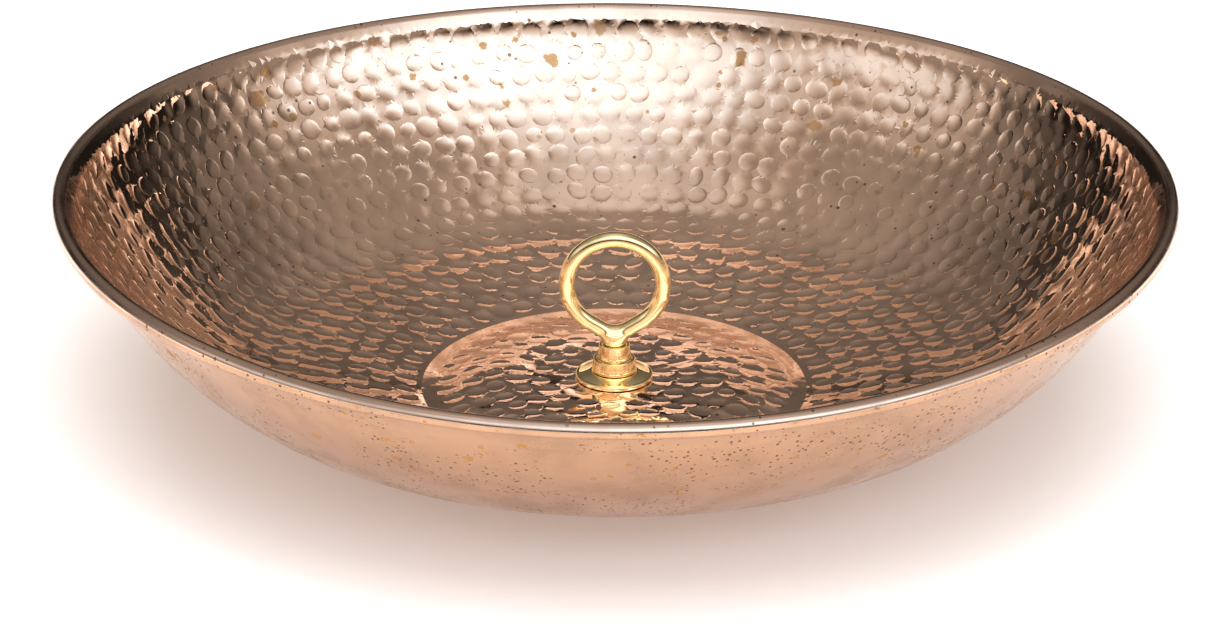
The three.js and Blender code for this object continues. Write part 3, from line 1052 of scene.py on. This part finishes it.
copper_inside = copper("copper_hammered", (0.96, 0.69, 0.53), 0.045, 0.8, 55, 0.12, 380)
copper_rim = copper("copper_rim", (0.86, 0.62, 0.49), 0.2, 0.3, 75, 0.3, 480)
# The outside's base colour is the copper darkened and reddened with painted shade. It stands in for the
# shadowed, copper-tinted floor that the outside reflects.
copper_outside = copper("copper_outside_painted_shade", (0.56, 0.32, 0.19), 0.2, 0.6, 75, 0.95, 480)
brass = turned_brass("brass_polished", (1.0, 0.82, 0.45), 0.05)
steel = plain("steel_plated", (0.55, 0.54, 0.52), 0.3, 1)
rubber = plain("rubber_black", (0.02, 0.02, 0.02), 0.7, 0)

# ---------------------------------------------------------------- assembly

PIECES = [
    (basin(copper_inside, copper_outside, copper_rim), "basin_shell", "copper"),
    (wire(steel), "rim_wire", "steel"),
    (cap(brass), "flange_cap", "brass"),
    (
        flat_ring("gasket_ring", "sealing_gasket", GASKET_BORE, GASKET_EDGE, rubber),
        "sealing_gasket", "rubber",
    ),
    (collar("collar_lower", "lower_collar", brass, **LOWER_COLLAR), "lower_collar", "brass"),
    (collar("collar_upper", "upper_collar", brass, **UPPER_COLLAR), "upper_collar", "brass"),
    (eye(brass), "eye_ring", "brass"),
    (
        flat_ring("washer_ring", "screw_washer", FLOOR_HOLE_RADIUS, WASHER_EDGE, steel),
        "screw_washer", "steel",
    ),
    (screw(brass), "clamp_screw", "brass"),
]

for piece, node, slot in PIECES:
    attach(piece, "root")
    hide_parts(node)


# ---------------------------------------------------------------- studio

def floor_plane():
    data = bpy.data.meshes.new("floor")
    half = 4
    gap_under_the_basin = 0.0002
    data.from_pydata(
        [(-half, -half, 0), (half, -half, 0), (half, half, 0), (-half, half, 0)], [], [(0, 1, 2, 3)],
    )
    obj = bpy.data.objects.new("floor", data)
    bpy.context.scene.collection.objects.link(obj)
    obj.location = (0, 0, -gap_under_the_basin)
    material, tree, shader = new_material("floor_white")
    shader.inputs["Base Color"].default_value = (0.85, 0.85, 0.85, 1)
    shader.inputs["Roughness"].default_value = 0.6
    # The floor glows faintly with a pink tint. This is painted light that lightens the shadow under the
    # basin and stands in for light bounced off the copper.
    shader.inputs["Emission Color"].default_value = (1, 0.87, 0.79, 1)
    shader.inputs["Emission Strength"].default_value = 0.31
    data.materials.append(material)


def softbox(name, place, target, width, height, radiance, seen_in_gloss=True):
    """A rectangular light. radiance is how bright its face looks."""
    data = bpy.data.lights.new(name, "AREA")
    data.shape = "RECTANGLE"
    data.size = width
    data.size_y = height
    data.energy = radiance * math.pi * width * height
    obj = bpy.data.objects.new(name, data)
    bpy.context.scene.collection.objects.link(obj)
    obj.location = place
    obj.rotation_euler = (Vector(target) - Vector(place)).to_track_quat("-Z", "Y").to_euler()
    obj.visible_glossy = seen_in_gloss
    return obj


def world():
    """The studio all round: dark low down, grey overhead, and a broad bright light behind the camera."""
    studio = bpy.data.worlds.new("studio")
    bpy.context.scene.world = studio
    studio.use_nodes = True
    graph = Graph(studio.node_tree)
    x, y, z = graph.split(graph.node("TexCoord").outputs["Generated"])
    aside = graph.math("ABSOLUTE", x)
    overhead = graph.total(
        graph.rise(z, 0.35, 0.42, 0.0, 0.12),
        graph.rise(z, 0.42, 0.9, 0.0, 0.22),
        graph.rise(z, 0.9, 1.0, 0.0, 0.4),
    )
    front = graph.product(
        graph.fall(y, -0.75, -0.05, 0.0, 1.35),
        graph.rise(z, 0.2, 0.68),
        graph.math("MULTIPLY_ADD", x, 0.8, 1.0),
    )
    sides = graph.product(
        graph.rise(aside, 0.5, 0.8, 0.0, 0.65),
        graph.fall(y, -0.15, 0.25),
        graph.fall(z, 0.5, 0.8),
        graph.rise(z, 0.15, 0.4),
    )
    fill = graph.product(graph.rise(aside, 0.6, 0.9, 0.0, 0.1), graph.rise(z, 0.12, 0.3))
    skirt = graph.product(
        graph.rise(aside, 0.3, 0.6, 0.0, 0.35),
        graph.fall(z, 0.12, 0.3),
        graph.fall(y, 0.1, 0.4),
    )
    behind = graph.product(
        graph.rise(aside, 0.1, 0.3, 0.0, 0.06),
        graph.rise(y, 0.6, 0.9),
        graph.rise(z, 0.12, 0.3),
        graph.fall(z, 0.35, 0.5),
    )
    darkest = 0.014
    warm = (1.0, 0.88, 0.78, 1)
    cool = (0.98, 1.12, 1.25, 1)
    white = (1, 1, 1, 1)
    light = graph.total(darkest, overhead, front, sides, fill, skirt, behind)
    tint = graph.mix_color(graph.rise(light, 0.4, 1.2), warm, cool)
    ray = graph.node("LightPath").outputs
    lit = graph.mix_color(ray["Is Camera Ray"], tint, white)
    strength = graph.math("MAXIMUM", light, ray["Is Camera Ray"])

    # What is seen through two reflections or more is brighter, or the basin's floor looks too dark.
    many_reflections = graph.rise(ray["Ray Depth"], 2.2, 2.8, 1.0, 1.5)
    strength = graph.product(strength, many_reflections)
    background = studio.node_tree.nodes["Background"]
    graph.put(lit, background.inputs["Color"])
    graph.put(strength, background.inputs["Strength"])


def camera():
    aside = -2.75
    distance = 1500
    elevation = math.radians(21.4)
    pitch_down = 23.2
    roll = 0.33
    data = bpy.data.cameras.new("camera")
    data.sensor_width = 36
    data.lens = 124.7
    obj = bpy.data.objects.new("camera", data)
    bpy.context.scene.collection.objects.link(obj)
    place = Vector((
        aside,
        -distance * math.cos(elevation),
        BASIN_HEIGHT + distance * math.sin(elevation),
    ))
    turn = (
        Matrix.Rotation(math.radians(90 - pitch_down), 4, "X")
        @ Matrix.Rotation(math.radians(roll), 4, "Z")
    )
    obj.matrix_world = Matrix.Translation(place * MM) @ turn
    bpy.context.scene.camera = obj


floor_plane()
world()
softbox(
    "floor_key", place=(0, -0.3, 1.9), target=(0, 0, 0), width=2.4, height=2.0, radiance=3.2,
    seen_in_gloss=False,
)
camera()
bpy.context.scene.view_settings.view_transform = "Standard"
